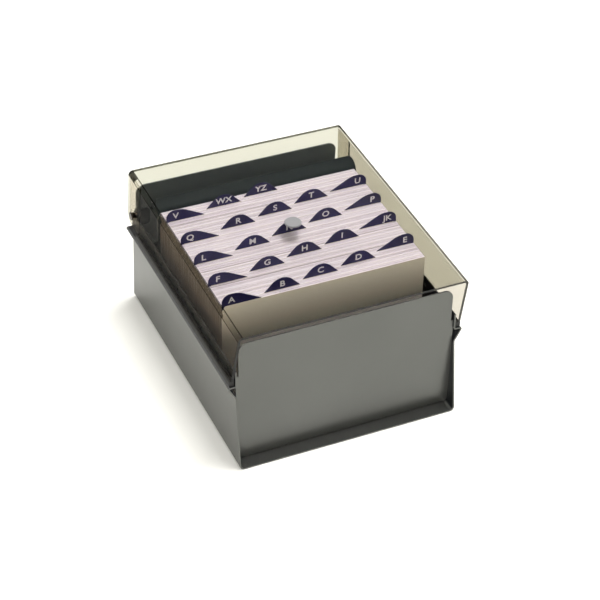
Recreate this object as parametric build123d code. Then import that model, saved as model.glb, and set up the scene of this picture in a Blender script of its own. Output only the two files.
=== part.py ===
from build123d import *
import os
from math import cos, hypot, radians, sin, tan

# Covered tray file for 6 x 4 inch index cards.
#
# A folded sheet-steel tray holds a deck of cards and lettered guides on edge.
# A smoke-clear cover, bent from one sheet and open at both ends, turns on two
# pins at the tray's rear corners.  A sliding follower plate backs the deck.
#
# Millimetres.  +Z is up, +X is to the right, the front panel faces -Y, and
# the origin lies under the middle of the footprint, on the table.

os.makedirs("parts", exist_ok=True)

# ---------------------------------------------------------------- sizes ----

# cards and guides
CARD_W = 152.4             # 6 in
CARD_H = 101.6             # 4 in
CARD_T = 0.2
GUIDE_T = 0.5
TAB_H = 8.9                # how far a tab stands above the cards
TAB_W_MIDDLE = 26.5        # foot to foot, for the three humped tabs
TAB_TOP_MIDDLE = 9.0       # their flat top, before it is rounded away
TAB_CROWN = 10.4           # radius of their crown
TAB_W_END = 29.0           # corner to tail, for the two end tabs
TAB_TOP_END = 12.0         # their flat top, before it is rounded away
TAB_SHOULDER = 6.0         # radius above the card's corner
TAB_NAPE = 16.6            # radius where the long tail begins
TAB_POSITIONS = 5          # tabs step across the guides in five positions
LEAN = 3.0                 # degrees that the deck leans back
DECK_FRONT = 45.7          # floor's front edge to the deck's foot
GROUP_GAP = 0.5            # slack behind each letter's cards

# letters in filing order, with the number of cards filed behind each guide
CARDS_FILED = {
    "a": 13, "b": 16, "c": 14, "d": 24, "e": 28,
    "f": 19, "g": 22, "h": 14, "i": 30, "jk": 17,
    "l": 20, "m": 23, "n": 21, "o": 15, "p": 19,
    "q": 25, "r": 19, "s": 19, "t": 15, "u": 33,
    "v": 20, "wx": 14, "yz": 15,
}

# tray shell, one folded sheet
SHEET = 1.0
SIDE_PLAY = 5.3            # cards to the tray's side walls
REAR_ROOM = 44.2           # deck's rear foot to the tray's rear edge
WALL_H = 56.1              # height at which the side walls break outward
FLARE_H = 10.6             # height of the flare above that
RIM_OUT = 6.3              # width of the ledge, to its unrounded rim
SLANT_BACK = 10.1          # how far the walls' front edges slant back
RIM_BACK = 2.2             # and how much further their legs stand back
BEND = 1.5                 # outside radius of the small bends
FLOOR_BEND = 4.0           # outside radius of the bends at the floor
HOLE_D = 2.6               # detent holes for the follower
HOLE_UP = 6.3              # ledge to the row of holes
HOLE_PITCH = 14.9
HOLE_FROM_REAR = 14.3      # tray's rear edge to the last hole
HOLE_FROM_FRONT = 21.5     # the row ends before it comes this near the front

# front and rear panels
FRONT_FOOT = 9.8          # how far the floor's lip shows before the panel
FRONT_LEAN = 2.6           # degrees that the front panel leans back
FRONT_BELOW = 3.0          # front panel's top edge below the card tops
REAR_BELOW = 1.3
PANEL_STEP_UP = 6.0        # ledge to the step in the panels' side edges
PANEL_STEP_IN = 1.9
PANEL_CORNER = 6.5
PANEL_FLANGE = 11.0

# cover, hinge and strips
COVER_T = 2.0
COVER_ROOM = 0.7           # an upright guide's tab to the cover
COVER_SIDE_PLAY = 0.1      # tray's width to the cover's, at the top
COVER_DRAFT = 1.3          # how far each side spreads towards its lower edge
COVER_BEND = 3.5           # outside radius of the two bends
COVER_FRONT_TOP = 3.8      # floor's front edge to the cover's top front edge
COVER_FRONT_BOTTOM = 11.3
COVER_BEHIND = 2.0         # how far the cover stands behind the tray
CORNER_R = 9.4             # hinge corner, rounded about the pin
PIN_D = 4.0
PIN_PLAY = 0.1             # radial play of a pin in its bore
PIN_HEAD_D = 6.4
PIN_HEAD_T = 1.0
PIN_HEAD_PLAY = 0.5        # cover's side to the pin's outer head
LEG_PLAY = 0.5             # tray's leg to the pin above it
STIFFENER_W = 19.6         # clear strips that double the cover's rear edges
STIFFENER_T = 0.5
CUSHION_W = 3.6            # rubber strips that the cover comes down on
CUSHION_H = 4.5
CUSHION_PLAY = 0.3
DISC_D = 12.0
DISC_T = 1.2
DISC_FROM_FRONT = 106.0

# hinge brackets
BRACKET_T = 1.0
BRACKET_EAR = 4.9          # radius of the bracket's ear about the pin
BRACKET_TAB = 12.0         # tab that is welded to the rear panel
BRACKET_CORNER = 3.0

# follower
FOLLOWER_T = 1.2
FOLLOWER_HALF = 77.9
FOLLOWER_FOOT = 16.0
FOLLOWER_OVER = 0.6        # card tops to the place where the plate curls back
FOLLOWER_LIP = 9.9        # length of the curled lip
FOLLOWER_CURL = 45.0       # degrees that the lip curls back from the plate
FOLLOWER_BEND = 7.1        # outside radius of the curl
FOLLOWER_CORNER = 4.0
EAR_H = 12.0               # ears that run inside the tray's legs
EAR_PLAY = 0.3
NIB_D = 2.2                # pressed nibs that sit at the detent holes
NIB_ROOM = 1.5             # nib's middle to the ear's rear end

# ------------------------------------------------------- derived places ----

LEAN_COS = cos(radians(LEAN))
SLOPE = tan(radians(LEAN))
GUIDE_DEPTH = GUIDE_T / LEAN_COS       # thicknesses measured along the floor
CARD_DEPTH = CARD_T / LEAN_COS
DECK_DEPTH = (
    len(CARDS_FILED) * (GUIDE_DEPTH + GROUP_GAP) + sum(CARDS_FILED.values()) * CARD_DEPTH
)

HALF_IN = CARD_W / 2 + SIDE_PLAY
HALF_OUT = HALF_IN + SHEET
TRAY_L = DECK_FRONT + DECK_DEPTH + REAR_ROOM
LENGTH = TRAY_L + COVER_BEHIND
FRONT = -LENGTH / 2                    # the floor's front edge
REAR = FRONT + TRAY_L                  # the tray's rear edge
COVER_REAR = FRONT + LENGTH
DECK_REAR = REAR - REAR_ROOM

CARD_TOP = SHEET + CARD_H * LEAN_COS   # top of the leaning cards
TAB_TOP = SHEET + (CARD_H + TAB_H) * LEAN_COS
RIM_Z = WALL_H + FLARE_H               # top of the ledge
HOLE_Z = RIM_Z + HOLE_UP
COVER_BOTTOM = RIM_Z + CUSHION_H + CUSHION_PLAY
COVER_TOP = SHEET + CARD_H + TAB_H + COVER_ROOM + COVER_T
COVER_HALF_TOP = HALF_OUT + COVER_T + COVER_SIDE_PLAY
COVER_HALF_BOTTOM = COVER_HALF_TOP + COVER_DRAFT
PIN_Y = COVER_REAR - CORNER_R
PIN_Z = COVER_BOTTOM + CORNER_R
LEG_TOP = PIN_Z - PIN_D / 2 - LEG_PLAY
WIDE = HALF_OUT + RIM_OUT              # half of the width over all


def save(shape, node):
    """Write one sub-part under its node's name."""
    shape.label = node
    export_step(shape, f"parts/{node}.step")


def bent_sheet(points, radii, thickness):
    """Section of a bent sheet, from its left skin's path and its bends."""
    skin = FilletPolyline(*points, radius=radii)
    return make_face(offset(skin, amount=thickness, side=Side.RIGHT))


def side_view(points, half_width):
    """Solid of a (y, z) outline, as wide as the two half widths together."""
    outline = make_face(Polyline(*points, close=True))
    return extrude(Plane.YZ * outline, amount=half_width, both=True)


def front_view(outline, y_from, y_to):
    """Solid of an (x, z) outline between two places along the tray."""
    upright = Plane(origin=(0, y_to, 0), x_dir=(1, 0, 0), z_dir=(0, -1, 0))
    return extrude(upright * outline, amount=y_to - y_from)


def round_bar(diameter, x_from, x_to, y, z):
    """Cylinder that lies across the tray."""
    bar = Cylinder(diameter / 2, x_to - x_from, rotation=(0, 90, 0))
    return Pos((x_from + x_to) / 2, y, z) * bar


def mirrored(shape):
    return mirror(shape, about=Plane.YZ)


# ------------------------------------------------------------ tray shell ----

def hole_places():
    """Places of the detent holes, from the rear forward."""
    y = REAR - HOLE_FROM_REAR
    places = []
    while y > FRONT + HOLE_FROM_FRONT:
        places.append(y)
        y -= HOLE_PITCH
    return places


def tray_shell():
    """Floor, walls, flares, ledges and legs, folded from one sheet."""
    right = [
        (HALF_OUT, LEG_TOP),
        (HALF_OUT, RIM_Z),
        (WIDE, RIM_Z),
        (HALF_OUT, WALL_H),
        (HALF_OUT, 0),
    ]
    left = [(-x, z) for x, z in reversed(right)]
    bends = [BEND - SHEET, BEND, BEND, FLOOR_BEND]
    section = bent_sheet(right + left, bends + bends[::-1], SHEET)
    shell = front_view(section, FRONT, REAR)

    # the walls' front edges slant back from the floor's lip to the legs
    ahead = FRONT - SHEET
    above = LEG_TOP + SHEET
    slant = [
        (FRONT, SHEET),
        (FRONT + SLANT_BACK, WALL_H),
        (FRONT + SLANT_BACK + RIM_BACK, above),
        (ahead, above),
        (ahead, SHEET),
    ]
    shell -= side_view(slant, WIDE + SHEET)
    return shell - [round_bar(HOLE_D, -WIDE, WIDE, y, HOLE_Z) for y in hole_places()]


# ---------------------------------------------------------------- panels ----

def panel_outline(top):
    """Front view of an end panel: wide in the walls, narrower above them."""
    step = RIM_Z + PANEL_STEP_UP
    wide = Pos(0, (SHEET + step) / 2) * Rectangle(2 * HALF_IN, step - SHEET)
    wide = fillet(wide.vertices().sort_by(Axis.Y)[:2], FLOOR_BEND)
    tall_size = (2 * (HALF_IN - PANEL_STEP_IN), top - step / 2)
    tall = Pos(0, (top + step / 2) / 2) * Rectangle(*tall_size)
    tall = fillet(tall.vertices().sort_by(Axis.Y)[-2:], PANEL_CORNER)
    return wide + tall


def front_panel():
    """Plate with a foot flange and two side flanges, bent towards the deck."""
    foot = FRONT + FRONT_FOOT
    top = CARD_TOP - FRONT_BELOW
    slope = tan(radians(FRONT_LEAN))
    path = [(foot + PANEL_FLANGE, SHEET), (foot, SHEET), (foot + (top - SHEET) * slope, top)]
    return flanged(bent_sheet(path, [BEND], SHEET), top, foot + SHEET, slope)


def rear_panel():
    """Upright plate with the same flanges, bent towards the deck."""
    top = CARD_TOP - REAR_BELOW
    path = [(REAR, top), (REAR, SHEET), (REAR - PANEL_FLANGE, SHEET)]
    return flanged(bent_sheet(path, [BEND], SHEET), top, REAR - PANEL_FLANGE, 0)


def flanged(section, top, flange_y, slope):
    """Cut a bent section to the panel's outline and add its side flanges."""
    panel = extrude(Plane.YZ * section, amount=HALF_IN, both=True)
    panel &= front_view(panel_outline(top), FRONT, REAR)
    low = SHEET + FLOOR_BEND
    high = WALL_H - SHEET
    deep = PANEL_FLANGE - SHEET
    rise = (high - low) * slope
    start = flange_y + (low - SHEET) * slope
    corners = [
        (start, low),
        (start + rise, high),
        (start + rise + deep, high),
        (start + deep, low),
    ]
    return panel + (side_view(corners, HALF_IN) - side_view(corners, HALF_IN - SHEET))


# ---------------------------------------------------------------- cover ----

def cover_outline():
    """Side view of the cover: slanting front edge, rounded hinge corner."""
    corner = (COVER_REAR, COVER_BOTTOM)
    outline = make_face(
        Polyline(
            (FRONT + COVER_FRONT_TOP, COVER_TOP),
            (COVER_REAR, COVER_TOP),
            corner,
            (FRONT + COVER_FRONT_BOTTOM, COVER_BOTTOM),
            close=True,
        )
    )
    return fillet(outline.vertices().sort_by_distance(corner)[0], CORNER_R)


def cover_shape(section, y_from):
    """Cut a drawn section to the cover's side view and bore it for the pins."""
    body = front_view(section, y_from, COVER_REAR)
    body &= extrude(Plane.YZ * cover_outline(), amount=WIDE, both=True)
    return body - round_bar(PIN_D + 2 * PIN_PLAY, -WIDE, WIDE, PIN_Y, PIN_Z)


def cover():
    """Top and two sides, bent from one clear sheet; both ends are open."""
    path = [
        (-COVER_HALF_BOTTOM, COVER_BOTTOM),
        (-COVER_HALF_TOP, COVER_TOP),
        (COVER_HALF_TOP, COVER_TOP),
        (COVER_HALF_BOTTOM, COVER_BOTTOM),
    ]
    return cover_shape(bent_sheet(path, [COVER_BEND, COVER_BEND], COVER_T), FRONT)


def cover_side(z):
    """Outside face of the cover's right side at a height."""
    share = (COVER_TOP - z) / (COVER_TOP - COVER_BOTTOM)
    return COVER_HALF_TOP + share * COVER_DRAFT


def cover_stiffener():
    """Clear strip cemented inside the right side's rear edge, round the pin."""
    high = COVER_TOP - COVER_BEND
    low = COVER_BOTTOM
    across = COVER_T * hypot(1, COVER_DRAFT / (COVER_TOP - COVER_BOTTOM))
    outer = [(cover_side(z) - across, z) for z in (low, high)]
    inner = [(x - STIFFENER_T, z) for x, z in reversed(outer)]
    section = make_face(Polyline(*outer, *inner, close=True))
    return cover_shape(section, COVER_REAR - STIFFENER_W)


def cover_disc():
    """Small plain disc, slightly domed, stuck on the middle of the cover."""
    disc = Cylinder(DISC_D / 2, DISC_T, align=(Align.CENTER, Align.CENTER, Align.MIN))
    disc = chamfer(disc.faces().sort_by(Axis.Z)[-1].edges(), DISC_T / 3)
    return Pos(0, FRONT + DISC_FROM_FRONT, COVER_TOP) * disc


# ---------------------------------------------------------------- hinge ----

def hinge_bracket():
    """Right bracket: an ear along the leg and a tab against the rear panel."""
    panel_face = REAR - SHEET
    ear_front = PIN_Y - BRACKET_EAR
    size = (panel_face - ear_front, PIN_Z - RIM_Z)
    ear = Pos((panel_face + ear_front) / 2, (PIN_Z + RIM_Z) / 2) * Rectangle(*size)
    ear += Pos(PIN_Y, PIN_Z) * Circle(BRACKET_EAR)
    plate = Pos(HALF_IN - BRACKET_T, 0, 0) * extrude(Plane.YZ * ear, amount=BRACKET_T)
    plate -= round_bar(PIN_D, 0, WIDE, PIN_Y, PIN_Z)

    to_corner = (Align.MAX, Align.MAX, Align.MIN)
    tab = Box(BRACKET_TAB, BRACKET_T, PIN_Z - RIM_Z, align=to_corner)
    inner_end = tab.edges().filter_by(Axis.Y).group_by(Axis.X)[0]
    tab = fillet(inner_end, BRACKET_CORNER)
    return plate + Pos(HALF_IN, panel_face, RIM_Z) * tab


def hinge_pin():
    """Right pin: tail inside the bracket, shank, head outside the cover."""
    inner = HALF_IN - BRACKET_T
    outer = cover_side(PIN_Z) + PIN_HEAD_PLAY
    shank = round_bar(PIN_D, inner, outer, PIN_Y, PIN_Z)
    tail = round_bar(PIN_HEAD_D, inner - PIN_HEAD_T, inner, PIN_Y, PIN_Z)
    head = round_bar(PIN_HEAD_D, outer, outer + PIN_HEAD_T, PIN_Y, PIN_Z)
    head = chamfer(head.faces().sort_by(Axis.X)[-1].edges(), PIN_HEAD_T / 2)
    return shank + tail + head


def cushion_strip():
    """Right rubber strip, bedded on the ledge under the cover's edge."""
    middle = cover_side(COVER_BOTTOM) - COVER_T / 2
    begin = FRONT + SLANT_BACK + RIM_BACK
    end = PIN_Y - CORNER_R
    strip = Box(CUSHION_W, end - begin, CUSHION_H, align=(Align.CENTER, Align.MIN, Align.MIN))
    upper = strip.faces().sort_by(Axis.Z)[-1].edges().filter_by(Axis.Y)
    return Pos(middle, begin, RIM_Z) * fillet(upper, CUSHION_W / 4)


# ------------------------------------------------------------- the deck ----

def leaning(y_front, depth, top, half_width):
    """Slab that leans with the deck but stands flat on the tray's floor."""
    shift = (top - SHEET) * SLOPE
    corners = [
        (y_front, SHEET),
        (y_front + depth, SHEET),
        (y_front + depth + shift, top),
        (y_front + shift, top),
    ]
    return side_view(corners, half_width)


def guide_outline(position):
    """Front view of a guide: a full leaf with a tab in one of the positions."""
    leaf = Pos(0, (SHEET + CARD_TOP) / 2) * Rectangle(CARD_W, CARD_TOP - SHEET)
    base = CARD_TOP - TAB_H
    if 0 < position < TAB_POSITIONS - 1:
        middle = (position - (TAB_POSITIONS - 1) / 2) * CARD_W / TAB_POSITIONS
        foot = TAB_W_MIDDLE / 2
        flat = TAB_TOP_MIDDLE / 2
        points = [
            (middle - foot, base),
            (middle - foot, CARD_TOP),
            (middle - flat, TAB_TOP),
            (middle + flat, TAB_TOP),
            (middle + foot, CARD_TOP),
            (middle + foot, base),
        ]
        radii = [0, 0, TAB_CROWN, TAB_CROWN, 0, 0]
    else:
        side = 1 if position else -1
        edge = side * CARD_W / 2
        tail = edge - side * TAB_W_END
        points = [
            (edge, base),
            (edge, TAB_TOP),
            (edge - side * TAB_TOP_END, TAB_TOP),
            (tail, CARD_TOP),
            (tail, base),
        ]
        radii = [0, TAB_SHOULDER, TAB_NAPE, 0, 0]
    return leaf + make_face(FilletPolyline(*points, radius=radii, close=True))


def deck():
    """Every guide and the cards filed behind it, from the front backward."""
    y = FRONT + DECK_FRONT
    for index, (letter, count) in enumerate(CARDS_FILED.items()):
        leaf = leaning(y, GUIDE_DEPTH, TAB_TOP, CARD_W / 2)
        outline = guide_outline(index % TAB_POSITIONS)
        yield f"guide_{letter}", leaf & front_view(outline, FRONT, REAR)
        y += GUIDE_DEPTH
        yield f"cards_{letter}", leaning(y, count * CARD_DEPTH, CARD_TOP, CARD_W / 2)
        y += count * CARD_DEPTH + GROUP_GAP


# -------------------------------------------------------------- follower ----

def plate_y(z):
    """Front face of the follower's plate at a height."""
    return DECK_REAR + (z - SHEET) * SLOPE


def follower():
    """Plate with a foot, a curled lip and two ears with detent nibs."""
    curl_z = CARD_TOP + FOLLOWER_OVER
    curl = radians(LEAN + FOLLOWER_CURL)
    lip_y = plate_y(curl_z) + FOLLOWER_LIP * sin(curl)
    lip_z = curl_z + FOLLOWER_LIP * cos(curl)
    path = [
        (DECK_REAR + FOLLOWER_FOOT, SHEET),
        (DECK_REAR, SHEET),
        (plate_y(curl_z), curl_z),
        (lip_y, lip_z),
    ]
    section = bent_sheet(path, [2 * FOLLOWER_T, FOLLOWER_BEND], FOLLOWER_T)
    plate = extrude(Plane.YZ * section, amount=FOLLOWER_HALF, both=True)
    outline = Pos(0, lip_z / 2) * Rectangle(2 * FOLLOWER_HALF, lip_z)
    outline = fillet(outline.vertices().sort_by(Axis.Y)[-2:], FOLLOWER_CORNER)
    plate &= front_view(outline, FRONT, REAR)

    # each ear steps out from the plate's edge and runs back along the leg
    ear_x = HALF_IN - EAR_PLAY
    nib_y = hole_places()[1]
    low = HOLE_Z - EAR_H / 2
    high = HOLE_Z + EAR_H / 2
    back = nib_y + NIB_ROOM
    thick = FOLLOWER_T / LEAN_COS
    ears = side_view([(plate_y(low), low), (plate_y(high), high), (back, high), (back, low)], ear_x)
    core = [
        (plate_y(low) + thick, low),
        (plate_y(high) + thick, high),
        (REAR, high),
        (REAR, low),
    ]
    ears -= side_view(core, ear_x - FOLLOWER_T)
    nib = round_bar(NIB_D, ear_x - FOLLOWER_T, ear_x + EAR_PLAY / 2, nib_y, HOLE_Z)
    return plate + ears + nib + mirrored(nib)


# ------------------------------------------------------------------ build ----

save(tray_shell(), "tray_shell")
save(front_panel(), "front_panel")
save(rear_panel(), "rear_panel")
save(cover(), "cover")
save(cover_disc(), "cover_disc")

for make in (cover_stiffener, hinge_bracket, hinge_pin, cushion_strip):
    right_piece = make()
    save(right_piece, f"right_{make.__name__}")
    save(mirrored(right_piece), f"left_{make.__name__}")

for node, piece in deck():
    save(piece, node)
save(follower(), "follower")
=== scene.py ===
import math
import random

import bpy
from mathutils import Matrix, Vector


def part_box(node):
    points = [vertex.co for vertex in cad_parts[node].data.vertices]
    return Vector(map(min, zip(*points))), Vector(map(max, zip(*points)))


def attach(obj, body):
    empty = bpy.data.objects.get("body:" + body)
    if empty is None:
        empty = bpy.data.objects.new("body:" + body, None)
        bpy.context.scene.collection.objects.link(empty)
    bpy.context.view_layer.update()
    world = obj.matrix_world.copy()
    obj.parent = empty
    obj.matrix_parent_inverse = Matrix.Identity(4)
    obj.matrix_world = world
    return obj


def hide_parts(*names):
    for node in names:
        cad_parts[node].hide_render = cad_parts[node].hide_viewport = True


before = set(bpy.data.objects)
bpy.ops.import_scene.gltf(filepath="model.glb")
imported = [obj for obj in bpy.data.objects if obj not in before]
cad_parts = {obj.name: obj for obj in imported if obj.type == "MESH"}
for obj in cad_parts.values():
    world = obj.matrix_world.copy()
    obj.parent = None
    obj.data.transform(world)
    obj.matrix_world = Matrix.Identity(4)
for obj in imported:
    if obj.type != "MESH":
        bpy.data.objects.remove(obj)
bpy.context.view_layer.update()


# ------------------------------------------------------------------ tray ----
# The tray is one sheet of 1 mm steel, folded to a floor, two walls, flared
# rims and upright legs.  Stoved enamel covers it: black inside and on the
# ledges, and outside a grey with fine metal flake that mirrors the table.

MM = 0.001
ENAMEL_GREY = "#646562"
ENAMEL_SHADE = "#5B5C59"
INSIDE_BLACK = "#1B1D1F"
ENAMEL_METALLIC = 0.72
ENAMEL_ROUGHNESS = 0.3
GLOSSIER = 0.04            # how far a patch's roughness goes down
DULLER = 0.05              # and up
ENAMEL_PATCHES = 18.0      # patches of tone and gloss to a metre
ORANGE_PEEL = 2.2 * MM     # size of the enamel's ripples, drawn a little coarse
PEEL_STRENGTH = 0.06
FLAKE = 0.35 * MM          # flake is finer than this, and is drawn so it shows
FLAKE_DARK = 0.94
FLAKE_BRIGHT = 1.06
RELIEF = 0.1 * MM          # depth of a finish's ripples, pits or tooth
SHEET_T = 1.0 * MM
FACING = 0.3               # a face looks one way if this much of its normal does
SQUARE_ON = 0.7            # and straight that way from here

ledge_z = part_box("left_cushion_strip")[0].z


def linear(code):
    """Linear colour of a hex sRGB code."""
    channels = [int(code[i:i + 2], 16) / 255 for i in (1, 3, 5)]
    curve = [c / 12.92 if c <= 0.04045 else ((c + 0.055) / 1.055) ** 2.4 for c in channels]
    return (*curve, 1.0)


def new_material(name):
    """Material with an empty node tree."""
    made = bpy.data.materials.new(name)
    made.use_nodes = True
    made.node_tree.nodes.clear()
    return made


def add(material, kind, inputs=None, **settings):
    """Add a node.  An input takes a node, an output, a hex colour or a number."""
    node = material.node_tree.nodes.new("ShaderNode" + kind)
    for key, value in settings.items():
        setattr(node, key, value)
    for target, value in (inputs or {}).items():
        if isinstance(value, bpy.types.Node):
            value = next(output for output in value.outputs if output.enabled)
        if isinstance(value, bpy.types.NodeSocket):
            material.node_tree.links.new(value, node.inputs[target])
        elif isinstance(value, str):
            node.inputs[target].default_value = linear(value)
        else:
            node.inputs[target].default_value = value
    return node


def finish_with(material, *nodes):
    """Give CAD nodes their finish."""
    for name in nodes:
        for material_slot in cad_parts[name].material_slots:
            material_slot.link = "OBJECT"
            material_slot.material = material


def outer_skin(material):
    """1 on the floor, the cut edges and what faces outward below the ledges."""
    coords = add(material, "TexCoord").outputs
    place = add(material, "SeparateXYZ", {0: coords["Object"]}).outputs
    normal = add(material, "SeparateXYZ", {0: coords["Normal"]}).outputs
    side = add(material, "Math", {0: place["X"]}, operation="SIGN")
    outward = add(material, "Math", {0: normal["X"], 1: side}, operation="MULTIPLY")
    facing = add(material, "Math", {0: outward, 1: FACING}, operation="GREATER_THAN")
    limit = ledge_z - SHEET_T / 2
    below = add(material, "Math", {0: place["Z"], 1: limit}, operation="LESS_THAN")
    wall = add(material, "Math", {0: facing, 1: below}, operation="MULTIPLY")
    bottom = add(material, "Math", {0: place["Z"], 1: 2 * SHEET_T}, operation="LESS_THAN")
    endwise = add(material, "Math", {0: normal["Y"]}, operation="ABSOLUTE")
    cut = add(material, "Math", {0: endwise, 1: SQUARE_ON}, operation="GREATER_THAN")
    either = add(material, "Math", {0: wall, 1: bottom}, operation="MAXIMUM")
    return add(material, "Math", {0: either, 1: cut}, operation="MAXIMUM")


def enamel(name, colour, shade, metallic, roughness, inside=None, skin_of=None):
    """Stoved enamel: rippled, finely flaked, patchy in gloss; two-tone if inside is set."""
    made = new_material(name)
    place = add(made, "TexCoord").outputs["Object"]
    patches = add(
        made, "TexNoise", {"Vector": place, "Scale": ENAMEL_PATCHES, "Detail": 3.0}
    )
    flake = add(made, "TexNoise", {"Vector": place, "Scale": 1 / FLAKE, "Detail": 1.0})
    peel = add(made, "TexNoise", {"Vector": place, "Scale": 1 / ORANGE_PEEL, "Detail": 2.0})
    # A Mix node's input 0 is the share of its second colour; 6 and 7 are the colours.
    base = add(made, "Mix", {0: patches, 6: colour, 7: shade}, data_type="RGBA")
    if inside:
        skin = skin_of(made)
        base = add(made, "Mix", {0: skin, 6: inside, 7: base}, data_type="RGBA")
        metallic = add(made, "Math", {0: skin, 1: metallic}, operation="MULTIPLY")
    speck = add(
        made, "MapRange", {"Value": flake, "To Min": FLAKE_DARK, "To Max": FLAKE_BRIGHT}
    )
    dusted = add(
        made, "Mix", {0: 1.0, 6: base, 7: speck}, data_type="RGBA", blend_type="MULTIPLY"
    )
    gloss = add(
        made, "MapRange",
        {"Value": patches, "To Min": roughness - GLOSSIER, "To Max": roughness + DULLER},
    )
    ripple = add(
        made, "Bump", {"Height": peel, "Strength": PEEL_STRENGTH, "Distance": RELIEF}
    )
    shader = add(
        made, "BsdfPrincipled",
        {"Base Color": dusted, "Roughness": gloss, "Normal": ripple, "Metallic": metallic},
    )
    add(made, "OutputMaterial", {"Surface": shader})
    return made


greys = (ENAMEL_GREY, ENAMEL_SHADE, ENAMEL_METALLIC, ENAMEL_ROUGHNESS)
two_tone = enamel("grey_and_black_enamel", *greys, inside=INSIDE_BLACK, skin_of=outer_skin)
finish_with(two_tone, "tray_shell")


# ---------------------------------------------------------------- panels ----
# The end panels are bent from the same sheet and welded between the walls.
# Both have the tray's grey enamel, the rear one only on its outer face.

BLACK_WITH_PAINTED_LIGHT = "#6A7173"    # black enamel drawn lighter as painted light, as light as the photograph shows the inner face


def rear_skin(material):
    """1 on the faces that look backward."""
    normal = add(material, "TexCoord").outputs["Normal"]
    along = add(material, "SeparateXYZ", {0: normal}).outputs["Y"]
    return add(material, "Math", {0: along, 1: FACING}, operation="GREATER_THAN")


finish_with(enamel("grey_flake_enamel", *greys), "front_panel")
# The rear panel's inner face is black enamel, drawn lighter: painted light.
rear_tones = enamel("rear_panel_enamel", *greys, inside=BLACK_WITH_PAINTED_LIGHT, skin_of=rear_skin)
finish_with(rear_tones, "rear_panel")


# ----------------------------------------------------------------- hinge ----
# Each bracket is a black-enamelled steel angle in the rear corner.  A
# blackened steel pin, turned and riveted, runs through it and the cover.

BLACK_ENAMEL = "#20272D"
BLACK_SHADE = "#1C2328"
BLACK_ROUGHNESS = 0.42
PIN_STEEL = "#4A443D"
PIN_SHADE = "#3A352F"
PIN_METALLIC = 0.85
PIN_ROUGHNESS = 0.34

black_enamel = enamel(
    "black_enamel", BLACK_ENAMEL, BLACK_SHADE, metallic=0.0, roughness=BLACK_ROUGHNESS
)
pin_steel = enamel("blackened_steel", PIN_STEEL, PIN_SHADE, PIN_METALLIC, PIN_ROUGHNESS)
finish_with(black_enamel, "left_hinge_bracket", "right_hinge_bracket")
finish_with(pin_steel, "left_hinge_pin", "right_hinge_pin")


# -------------------------------------------------------- cushion strips ----
# The strips are extruded black rubber, bedded on the ledges.  The cover's
# sides come down on them, and they stop its rattle.

RUBBER = "#1B1B1A"
RUBBER_BLOOM = "#262624"
RUBBER_ROUGHNESS = (0.62, 0.8)
RUBBER_GRAIN = 0.6 * MM
RUBBER_PITS = 0.2          # strength of the pits
BLOOM_PATCHES = 60.0       # to a metre


def rubber():
    """Extruded rubber: dull black with a pitted grain and a faint grey bloom."""
    made = new_material("extruded_rubber")
    place = add(made, "TexCoord").outputs["Object"]
    grain = add(
        made, "TexNoise", {"Vector": place, "Scale": 1 / RUBBER_GRAIN, "Detail": 4.0}
    )
    bloom = add(made, "TexNoise", {"Vector": place, "Scale": BLOOM_PATCHES, "Detail": 2.0})
    base = add(made, "Mix", {0: bloom, 6: RUBBER, 7: RUBBER_BLOOM}, data_type="RGBA")
    smooth, dull = RUBBER_ROUGHNESS
    rough = add(made, "MapRange", {"Value": bloom, "To Min": smooth, "To Max": dull})
    pits = add(made, "Bump", {"Height": grain, "Strength": RUBBER_PITS, "Distance": RELIEF})
    shader = add(
        made, "BsdfPrincipled", {"Base Color": base, "Roughness": rough, "Normal": pits}
    )
    add(made, "OutputMaterial", {"Surface": shader})
    return made


finish_with(rubber(), "left_cushion_strip", "right_cushion_strip")


# ----------------------------------------------------------------- cards ----
# Each letter's cards are white index stock, 0.2 mm thick, filed on edge and
# not quite knocked level, so their cut top edges show as fine lines.

CARD_WHITE = "#F6EFFF"
CARD_CREAM = "#E6DDEF"
CARD_SIDE_SHADE = "#7A7068"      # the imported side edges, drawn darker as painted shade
CARD_FACE = "#B8AAA6"      # what shows of a face above its neighbour, in its shade
CARD_ROUGHNESS = (0.8, 0.95)
CARD_MOTTLE = 900.0        # grains to a metre
CARD_TOOTH = 0.1           # strength of the tooth
CARD_T = 0.2 * MM
CARD_AIR = 0.02 * MM       # air that shows between two cards
CARD_STEP = 0.25 * MM      # how far a card may stand below its neighbours
CARD_SLIP = 0.12 * MM      # and how far it may lie to one side
CARD_SINK = 2.5 * MM       # a few cards in a pack have slid down this far
CARDS_TO_A_SINK = 28       # and they are this rare
NEW_RUN = 0.3              # chance that a card starts a new run of like cards
RUN_STEP, OWN_STEP = 0.7, 0.3    # shares of a card's step: its run's and its own
RUN_TONE, OWN_TONE = 0.6, 0.4    # and of its tone
PACK_EASE = 0.35 * MM      # how much of the gap behind it a loose pack takes up
LEAN = math.radians(3.0)
SHEET_FACES = (
    (0, 2, 3, 1), (4, 5, 7, 6), (0, 1, 5, 4),
    (2, 6, 7, 3), (0, 4, 6, 2), (1, 3, 7, 5),
)


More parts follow.
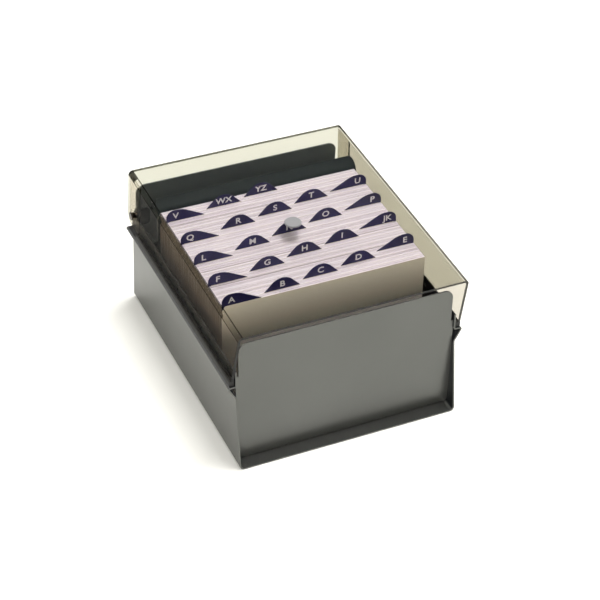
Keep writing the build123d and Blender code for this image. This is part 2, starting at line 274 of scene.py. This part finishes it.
def card_material():
    """Uncoated card: matt, faintly mottled, each card a touch off in tone; painted shade on
    side edges and exposed faces.
    """
    made = new_material("index_card_stock")
    coords = add(made, "TexCoord").outputs
    tone = add(made, "Attribute", attribute_name="tone").outputs["Fac"]
    base = add(made, "Mix", {0: tone, 6: CARD_WHITE, 7: CARD_CREAM}, data_type="RGBA")
    # Painted shade: faces and side edges are drawn darker than the top edges.
    normal = add(made, "SeparateXYZ", {0: coords["Normal"]}).outputs
    across = add(made, "Math", {0: normal["X"]}, operation="ABSOLUTE")
    side = add(made, "Math", {0: across, 1: SQUARE_ON}, operation="GREATER_THAN")
    along = add(made, "Math", {0: normal["Y"]}, operation="ABSOLUTE")
    face = add(made, "Math", {0: along, 1: SQUARE_ON}, operation="GREATER_THAN")
    shaded = add(made, "Mix", {0: face, 6: base, 7: CARD_FACE}, data_type="RGBA")
    stock = add(made, "Mix", {0: side, 6: shaded, 7: CARD_SIDE_SHADE}, data_type="RGBA")
    mottle = add(
        made, "TexNoise", {"Vector": coords["Object"], "Scale": CARD_MOTTLE, "Detail": 3.0}
    )
    smooth, dull = CARD_ROUGHNESS
    rough = add(made, "MapRange", {"Value": mottle, "To Min": smooth, "To Max": dull})
    tooth = add(
        made, "Bump", {"Height": mottle, "Strength": CARD_TOOTH, "Distance": RELIEF / 2}
    )
    shader = add(
        made, "BsdfPrincipled", {"Base Color": stock, "Roughness": rough, "Normal": tooth}
    )
    add(made, "OutputMaterial", {"Surface": shader})
    return made


def card_sheets(name, low, high, count):
    """Leaning sheets between a block's corners, one thin box for each card."""
    slope = math.tan(LEAN)
    shift = (high.z - low.z) * slope
    pitch = (high.y - low.y - shift) / count
    points, faces, tones = [], [], []
    run = 0.0
    sunk = {random.randrange(count) for _ in range(count // CARDS_TO_A_SINK)}
    for i in range(count):
        if random.random() < NEW_RUN:
            run = random.random()
        front = low.y + i * pitch + CARD_AIR / 2
        back = low.y + (i + 1) * pitch - CARD_AIR / 2
        top = high.z - CARD_STEP * (RUN_STEP * run + OWN_STEP * random.random())
        if i in sunk or i - 1 in sunk:
            top -= CARD_SINK
        slip = random.uniform(-CARD_SLIP, 0) * run
        left, right = low.x - slip / 2, high.x + slip
        sheet = []
        for z in (low.z, top):
            move = (z - low.z) * slope
            for y in (front, back):
                sheet += [(left, y + move, z), (right, y + move, z)]
        faces += [tuple(len(points) + corner for corner in face) for face in SHEET_FACES]
        points += sheet
        tones += [RUN_TONE * run + OWN_TONE * random.random()] * len(sheet)
    mesh = bpy.data.meshes.new(name)
    mesh.from_pydata(points, [], faces)
    mesh.attributes.new("tone", "FLOAT", "POINT").data.foreach_set("value", tones)
    return mesh


def show(name, data):
    """Put a mesh, letter, lamp or camera in the scene."""
    piece = bpy.data.objects.new(name, data)
    bpy.context.scene.collection.objects.link(piece)
    return piece


random.seed(64)
card_stock = card_material()
letters = sorted(
    name.removeprefix("guide_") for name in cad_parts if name.startswith("guide_")
)
for letter in letters:
    low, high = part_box(f"cards_{letter}")
    lean_over = (high.z - low.z) * math.tan(LEAN)
    count = round((high.y - low.y - lean_over) * math.cos(LEAN) / CARD_T)
    high.y += PACK_EASE
    sheets = card_sheets(f"card_sheets_{letter}", low, high, count)
    sheets.materials.append(card_stock)
    piece = show(f"card_sheets_{letter}", sheets)
    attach(piece, f"group_{letter}")
    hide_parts(f"cards_{letter}")


# ---------------------------------------------------------------- guides ----
# A guide is stiff pale board.  Its tab is faced front and back with dark
# blue film, which runs a little way down the card's corner on the end tabs.

GUIDE_BOARD = "#E6DED2"
GUIDE_FLECK = "#DCD3C5"
BOARD_FLECKS = 700.0       # to a metre
BOARD_TOOTH = 0.08         # strength of the tooth
BOARD_ROUGHNESS = 0.85
TAB_BLUE = "#1A1640"
TAB_SHEEN = "#27245E"
SHEEN_PATCHES = 40.0       # to a metre
FILM_ROUGHNESS = 0.38
TAB_H = 8.9 * MM
FILM_DOWN = 3.4 * MM       # film below the card line at a guide's corner
FILM_IN = 2.2 * MM
FILM_FOOT = 0.1 * MM       # card line to the film's lower edge elsewhere
PAINTED_SHADE_H = 30.0 * MM         # painted shade: the board is drawn darker from the card line down to this
PAINTED_SHADE_HEAD = 1.4            # its tone at the card line, drawn lighter there as painted light
PAINTED_SHADE_FOOT = 0.5            # and what is left of it down there
TAB_POSITIONS = 5

tab_top = max(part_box(f"guide_{letter}")[1].z for letter in letters)
card_line = tab_top - TAB_H * math.cos(LEAN)
guide_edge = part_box("guide_a")[1].x


def guide_material(name, side):
    """Flecked matt pressboard; glossy blue film on the tab and that side's corner; painted
    shade on its end edges and toward its foot.
    """
    made = new_material(name)
    coords = add(made, "TexCoord").outputs
    spot = coords["Object"]
    place = add(made, "SeparateXYZ", {0: spot}).outputs
    normal = add(made, "SeparateXYZ", {0: coords["Normal"]}).outputs
    across = add(made, "Math", {0: place["X"], 1: side}, operation="MULTIPLY")
    corner = add(
        made, "MapRange",
        {
            "Value": across, "From Min": guide_edge - FILM_IN, "From Max": guide_edge,
            "To Min": 0.0, "To Max": FILM_DOWN,
        },
    )
    depth = add(made, "Math", {0: place["Z"], 1: corner}, operation="ADD")
    foot = card_line + FILM_FOOT
    film = add(made, "Math", {0: depth, 1: foot}, operation="GREATER_THAN")
    fleck = add(made, "TexNoise", {"Vector": spot, "Scale": BOARD_FLECKS, "Detail": 4.0})
    sheen = add(made, "TexNoise", {"Vector": spot, "Scale": SHEEN_PATCHES, "Detail": 2.0})
    board = add(made, "Mix", {0: fleck, 6: GUIDE_BOARD, 7: GUIDE_FLECK}, data_type="RGBA")
    blue = add(made, "Mix", {0: sheen, 6: TAB_BLUE, 7: TAB_SHEEN}, data_type="RGBA")
    top = add(made, "Math", {0: normal["Z"], 1: SQUARE_ON}, operation="GREATER_THAN")
    topped = add(made, "Mix", {0: top, 6: board, 7: CARD_CREAM}, data_type="RGBA")
    sideways = add(made, "Math", {0: normal["X"]}, operation="ABSOLUTE")
    end = add(made, "Math", {0: sideways, 1: SQUARE_ON}, operation="GREATER_THAN")
    edged = add(made, "Mix", {0: end, 6: topped, 7: CARD_SIDE_SHADE}, data_type="RGBA")
    # Painted light and shade: the board is lighter at the card line and darker toward its
    # foot.
    dull = add(
        made, "MapRange",
        {
            "Value": place["Z"], "From Min": card_line - PAINTED_SHADE_H, "From Max": card_line,
            "To Min": PAINTED_SHADE_FOOT, "To Max": PAINTED_SHADE_HEAD,
        },
    )
    painted_shade = add(
        made, "Mix", {0: 1.0, 6: edged, 7: dull}, data_type="RGBA", blend_type="MULTIPLY"
    )
    base = add(made, "Mix", {0: film, 6: painted_shade, 7: blue}, data_type="RGBA")
    rough = add(
        made, "MapRange",
        {"Value": film, "To Min": BOARD_ROUGHNESS, "To Max": FILM_ROUGHNESS},
    )
    tooth = add(
        made, "Bump", {"Height": fleck, "Strength": BOARD_TOOTH, "Distance": RELIEF}
    )
    shader = add(
        made, "BsdfPrincipled", {"Base Color": base, "Roughness": rough, "Normal": tooth}
    )
    add(made, "OutputMaterial", {"Surface": shader})
    return made


tab_materials = (
    guide_material("left_tabbed_guide", -1),
    *[guide_material("middle_tabbed_guide", 0)] * (TAB_POSITIONS - 2),
    guide_material("right_tabbed_guide", 1),
)
for index, letter in enumerate(letters):
    finish_with(tab_materials[index % TAB_POSITIONS], f"guide_{letter}")


# --------------------------------------------------------------- letters ----
# The index letters are screen-printed in white ink on the front of the
# film, in plain sans capitals about half as high as the tab.

LETTER_WHITE = "#F6F4F8"
LETTER_SHADE = "#ECEAEE"
INK_GRAIN = 1500.0         # grains to a metre
INK_ROUGHNESS = 0.5
LETTER_H = 4.4 * MM
LETTER_UP = 2.2 * MM       # card line to the foot of a letter
LETTER_PROUD = 0.06 * MM
LETTER_BOLD = 0.12 * MM
LETTER_WIDE = 1.12         # the capitals are a little wider than the script's own font
CAPITAL = 0.7              # height of that font's capitals at a size of 1
LETTER_CURVE = 4           # steps between two points of a letter's outline
END_LETTER_IN = 7.0 * MM   # a guide's corner to the middle of its letter


def print_material():
    """Screen-printed ink: dense white, semi-matt, with a slight grain."""
    made = new_material("white_print")
    place = add(made, "TexCoord").outputs["Object"]
    grain = add(made, "TexNoise", {"Vector": place, "Scale": INK_GRAIN, "Detail": 2.0})
    base = add(made, "Mix", {0: grain, 6: LETTER_WHITE, 7: LETTER_SHADE}, data_type="RGBA")
    shader = add(
        made, "BsdfPrincipled", {"Base Color": base, "Roughness": INK_ROUGHNESS}
    )
    add(made, "OutputMaterial", {"Surface": shader})
    return made


def letter_x(index):
    """Middle of a guide's letter, across the tray."""
    position = index % TAB_POSITIONS - (TAB_POSITIONS - 1) / 2
    if abs(position) == (TAB_POSITIONS - 1) / 2:
        return math.copysign(guide_edge - END_LETTER_IN, position)
    return position * 2 * guide_edge / TAB_POSITIONS


white_print = print_material()
stand = Matrix.Rotation(math.radians(90) - LEAN, 4, "X")
wide = Matrix.Diagonal((LETTER_WIDE, 1, 1, 1))
for index, letter in enumerate(letters):
    text = bpy.data.curves.new(f"letter_{letter}", "FONT")
    text.body = letter.upper()
    text.size = LETTER_H / CAPITAL
    text.align_x = "CENTER"
    text.offset = LETTER_BOLD
    text.extrude = LETTER_PROUD / 2
    text.resolution_u = LETTER_CURVE
    text.materials.append(white_print)
    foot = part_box(f"guide_{letter}")[0]
    z = card_line + LETTER_UP
    y = foot.y + (z - foot.z) * math.tan(LEAN) - LETTER_PROUD / 2
    piece = show(f"letter_{letter}", text)
    piece.matrix_world = Matrix.Translation((letter_x(index), y, z)) @ stand @ wide
    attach(piece, f"group_{letter}")


# -------------------------------------------------------------- follower ----
# The follower is bent from 1.2 mm steel with a curled lip, in black enamel.
# Nibs pressed in its ears sit in the legs' holes and hold it in its place.

FOLLOWER_BLACK = "#2C3438"
FOLLOWER_SHADE = "#272F32"
FOLLOWER_ROUGHNESS = 0.3

follower_enamel = enamel(
    "follower_enamel", FOLLOWER_BLACK, FOLLOWER_SHADE,
    metallic=0.0, roughness=FOLLOWER_ROUGHNESS,
)
finish_with(follower_enamel, "follower")


# ----------------------------------------------------------------- cover ----
# The cover is 2 mm acrylic with a warm smoke tint, heat-bent twice, its
# cut edges left flame-polished, and doubled by two strips at the hinge.

SMOKE_TOP = "#C6C5BA"
SMOKE_SIDE = "#C9C4BA"
DOUBLER_SMOKE = "#EAE7DE"
SMOKE_BEND = "#3A3832"
SMOKE_PAINTED_HIGHLIGHT = "#B3B0A4"      # a painted highlight along the middle of the left bend
SMOKE_EDGE = "#0E0D0A"
SMOKE_REAR_EDGE = "#303028"
BEND_R = 3.5 * MM
BEND_RIM = 0.05 * MM       # how far inside its start a bend begins to darken
BEND_FULL = 0.2 * MM       # and is fully dark
LIT_BEGINS = 0.8           # share of the radius from the sharp corner to where the
LIT_FULL = 0.7             # lit middle begins, and to where it is full
COVER_DRAFT = 1.3 * MM     # how much wider the cover is at its foot
REAR_BLACK = 12.0 * MM     # how far the bends look black from the rear end
TOP_EDGE = 3.0 * MM        # how far down the top's rear edge is tinted
CUT_BEGINS = 0.6           # a face starts to look cut when this much of its normal
CUT_FULL = 0.8             # lies along the tray, and is a cut edge from here
CEMENT_LINE = 1.2 * MM     # width of the black line along a doubler's front edge
SHADE_TOP = "#C3C0CC"      # what lamps keep of their light through the top's face
SHADE_SIDE = "#55544C"     # and through a side's face
ACRYLIC_IOR = 1.02         # far below 1.49, as the photograph shows no mirroring
ACRYLIC_ROUGHNESS = (0.015, 0.04)
WAVES = 25.0               # patches of gloss to a metre
POLISH = 0.02              # share of acrylic's gloss that the flats show
EDGE_POLISH = 0.5          # and that the cut edges show

cover_low, cover_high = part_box("cover")
sharp_corner = cover_high.x - COVER_DRAFT + cover_high.z


def bend_tint(material, place, corner):
    """Colour of the bends: dark, with a painted highlight in the left one's middle and a
    black rear end.
    """
    core = add(
        material, "MapRange",
        {
            "Value": corner,
            "From Min": sharp_corner - LIT_BEGINS * BEND_R,
            "From Max": sharp_corner - LIT_FULL * BEND_R,
        },
    )
    left = add(material, "Math", {0: place["X"], 1: 0.0}, operation="LESS_THAN")
    lit = add(material, "Math", {0: core, 1: left}, operation="MULTIPLY")
    curve = add(material, "Mix", {0: lit, 6: SMOKE_BEND, 7: SMOKE_PAINTED_HIGHLIGHT}, data_type="RGBA")
    black_from = cover_high.y - REAR_BLACK
    rear = add(material, "Math", {0: place["Y"], 1: black_from}, operation="GREATER_THAN")
    return add(material, "Mix", {0: rear, 6: curve, 7: SMOKE_EDGE}, data_type="RGBA")


def cut_tint(material, place, clear):
    """Colour of the cut edges: black in front, grey at the top's rear, clear below it."""
    top_from = cover_high.z - TOP_EDGE
    high_up = add(material, "Math", {0: place["Z"], 1: top_from}, operation="GREATER_THAN")
    behind = add(
        material, "Mix", {0: high_up, 6: clear, 7: SMOKE_REAR_EDGE}, data_type="RGBA"
    )
    middle = (cover_low.y + cover_high.y) / 2
    rearward = add(material, "Math", {0: place["Y"], 1: middle}, operation="GREATER_THAN")
    return add(material, "Mix", {0: rearward, 6: SMOKE_EDGE, 7: behind}, data_type="RGBA")


def smoke_acrylic(name, side, cement_y):
    """Clear tinted sheet that lets lamps through; bends and cut edges look darker."""
    made = new_material(name)
    coords = add(made, "TexCoord").outputs
    normal = add(made, "SeparateXYZ", {0: coords["Normal"]}).outputs
    place = add(made, "SeparateXYZ", {0: coords["Object"]}).outputs
    across = add(made, "Math", {0: normal["X"]}, operation="ABSOLUTE")
    clear = add(made, "Mix", {0: across, 6: SMOKE_TOP, 7: side}, data_type="RGBA")
    out = add(made, "Math", {0: place["X"]}, operation="ABSOLUTE")
    corner = add(made, "Math", {0: out, 1: place["Z"]}, operation="ADD")
    bend = add(
        made, "MapRange",
        {
            "Value": corner,
            "From Min": sharp_corner - BEND_R + BEND_RIM,
            "From Max": sharp_corner - BEND_R + BEND_FULL,
        },
    )
    bent = bend_tint(made, place, corner)
    sheet = add(made, "Mix", {0: bend, 6: clear, 7: bent}, data_type="RGBA")
    ends = add(made, "Math", {0: normal["Y"]}, operation="ABSOLUTE")
    cut = add(
        made, "MapRange", {"Value": ends, "From Min": CUT_BEGINS, "From Max": CUT_FULL}
    )
    edge = cut_tint(made, place, clear)
    trimmed = add(made, "Mix", {0: cut, 6: sheet, 7: edge}, data_type="RGBA")
    cement = add(made, "Math", {0: place["Y"], 1: cement_y}, operation="LESS_THAN")
    tint = add(made, "Mix", {0: cement, 6: trimmed, 7: SMOKE_EDGE}, data_type="RGBA")
    polish = add(made, "MapRange", {"Value": cut, "To Min": POLISH, "To Max": EDGE_POLISH})
    wave = add(
        made, "TexNoise", {"Vector": coords["Object"], "Scale": WAVES, "Detail": 2.0}
    )
    smooth, dull = ACRYLIC_ROUGHNESS
    rough = add(made, "MapRange", {"Value": wave, "To Min": smooth, "To Max": dull})
    glass = add(
        made, "BsdfPrincipled",
        {
            "Base Color": tint, "Roughness": rough, "Coat Weight": polish,
            "IOR": ACRYLIC_IOR, "Transmission Weight": 1.0,
        },
    )
    shade = add(made, "Mix", {0: across, 6: SHADE_TOP, 7: SHADE_SIDE}, data_type="RGBA")
    lets_light = add(made, "BsdfTransparent", {"Color": shade})
    for_lamps = add(made, "LightPath").outputs["Is Shadow Ray"]
    both = add(made, "MixShader", {0: for_lamps, 1: glass, 2: lets_light})
    add(made, "OutputMaterial", {"Surface": both})
    return made


finish_with(smoke_acrylic("smoke_acrylic", SMOKE_SIDE, cover_low.y), "cover")
cement_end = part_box("left_cover_stiffener")[0].y + CEMENT_LINE
doubler = smoke_acrylic("doubler_acrylic", DOUBLER_SMOKE, cement_end)
finish_with(doubler, "left_cover_stiffener", "right_cover_stiffener")


# ------------------------------------------------------------ cover disc ----
# The disc is a plain moulding of grey plastic, 12 mm across.  It is stuck
# on the middle of the cover's top.

DISC_GREY = "#828284"
DISC_SHADE = "#7A7A7C"
DISC_ROUGHNESS = (0.35, 0.5)
DISC_GRAIN = 1200.0        # grains to a metre


def disc_material():
    """Moulded plastic: an even semi-gloss grey with a fine grain."""
    made = new_material("moulded_grey_plastic")
    place = add(made, "TexCoord").outputs["Object"]
    grain = add(made, "TexNoise", {"Vector": place, "Scale": DISC_GRAIN, "Detail": 3.0})
    base = add(made, "Mix", {0: grain, 6: DISC_GREY, 7: DISC_SHADE}, data_type="RGBA")
    smooth, dull = DISC_ROUGHNESS
    rough = add(made, "MapRange", {"Value": grain, "To Min": smooth, "To Max": dull})
    shader = add(made, "BsdfPrincipled", {"Base Color": base, "Roughness": rough})
    add(made, "OutputMaterial", {"Surface": shader})
    return made


finish_with(disc_material(), "cover_disc")


# ---------------------------------------------------------- floor, light ----
# A pale matt table top stands in an even white room.  A broad soft lamp
# hangs over it a little to the right, a fill stands in front on the left,
# and a strip behind on the left shows only in what is glossy or clear.

FLOOR_WHITE = "#FAFAF6"
FLOOR_SHADE = "#F6F6F2"
FLOOR_PATCHES = 3.0        # to a metre
FLOOR_ROUGHNESS = 0.9
FLOOR_HALF = 3.0           # metres from the middle to a side
ROOM_WHITE = "#FFF9EA"
ROOM = 0.35
AIM = Vector((0, 0, 0.05))    # metres, near the middle of the tray with its cover


def floor_material():
    """Matt white laminate: very slightly uneven in tone."""
    made = new_material("matt_white_table")
    place = add(made, "TexCoord").outputs["Object"]
    cloud = add(made, "TexNoise", {"Vector": place, "Scale": FLOOR_PATCHES, "Detail": 2.0})
    base = add(made, "Mix", {0: cloud, 6: FLOOR_WHITE, 7: FLOOR_SHADE}, data_type="RGBA")
    shader = add(
        made, "BsdfPrincipled", {"Base Color": base, "Roughness": FLOOR_ROUGHNESS}
    )
    add(made, "OutputMaterial", {"Surface": shader})
    return made


def lamp(name, place, wide, deep, power):
    """Area light that faces the tray."""
    data = bpy.data.lights.new(name, "AREA")
    data.shape = "RECTANGLE"
    data.size = wide
    data.size_y = deep
    data.energy = power
    light = show(name, data)
    light.location = place
    light.rotation_euler = (AIM - light.location).to_track_quat("-Z", "Y").to_euler()
    return light


corners = ((-1, -1), (1, -1), (1, 1), (-1, 1))
ground = bpy.data.meshes.new("floor")
ground.from_pydata(
    [(x * FLOOR_HALF, y * FLOOR_HALF, 0) for x, y in corners], [], [(0, 1, 2, 3)]
)
ground.materials.append(floor_material())
floor = show("floor", ground)

world = bpy.data.worlds.new("white_room")
world.use_nodes = True
sky = world.node_tree.nodes["Background"]
sky.inputs["Color"].default_value = linear(ROOM_WHITE)
sky.inputs["Strength"].default_value = ROOM
bpy.context.scene.world = world

lamp("key", place=(0.43, 0.1, 2.1), wide=1.0, deep=1.0, power=52.0)
lamp("fill", place=(-0.8, -1.45, 1.7), wide=1.2, deep=1.2, power=30.0)
strip = lamp("strip", place=(-0.95, 1.5, 1.45), wide=1.5, deep=0.5, power=19.0)
strip.visible_diffuse = False


# ---------------------------------------------------------------- camera ----
# The camera stands where the photograph's did.  Its place, turn, roll and
# lens are solved from the corners of the tray and the cover.

AZIMUTH = math.radians(26.244)
ELEVATION = math.radians(38.705)
ROLL = math.radians(2.973)
EYE = Vector((-470.9, -969.5, 911.6)) * MM
FOCAL = 115.61             # in mm, as a lens is named
SENSOR = 36.0              # and the width of its sensor

back = Vector(
    (
        -math.sin(AZIMUTH) * math.cos(ELEVATION),
        -math.cos(AZIMUTH) * math.cos(ELEVATION),
        math.sin(ELEVATION),
    )
)
level = Vector((math.cos(AZIMUTH), -math.sin(AZIMUTH), 0))
upward = back.cross(level)
right = level * math.cos(ROLL) + upward * math.sin(ROLL)
up = upward * math.cos(ROLL) - level * math.sin(ROLL)
turn = Matrix((right, up, back)).transposed().to_4x4()
lens = bpy.data.cameras.new("camera")
lens.lens = FOCAL
lens.sensor_width = SENSOR
camera = show("camera", lens)
camera.matrix_world = Matrix.Translation(EYE) @ turn
bpy.context.scene.camera = camera
bpy.context.scene.view_settings.view_transform = "Standard"
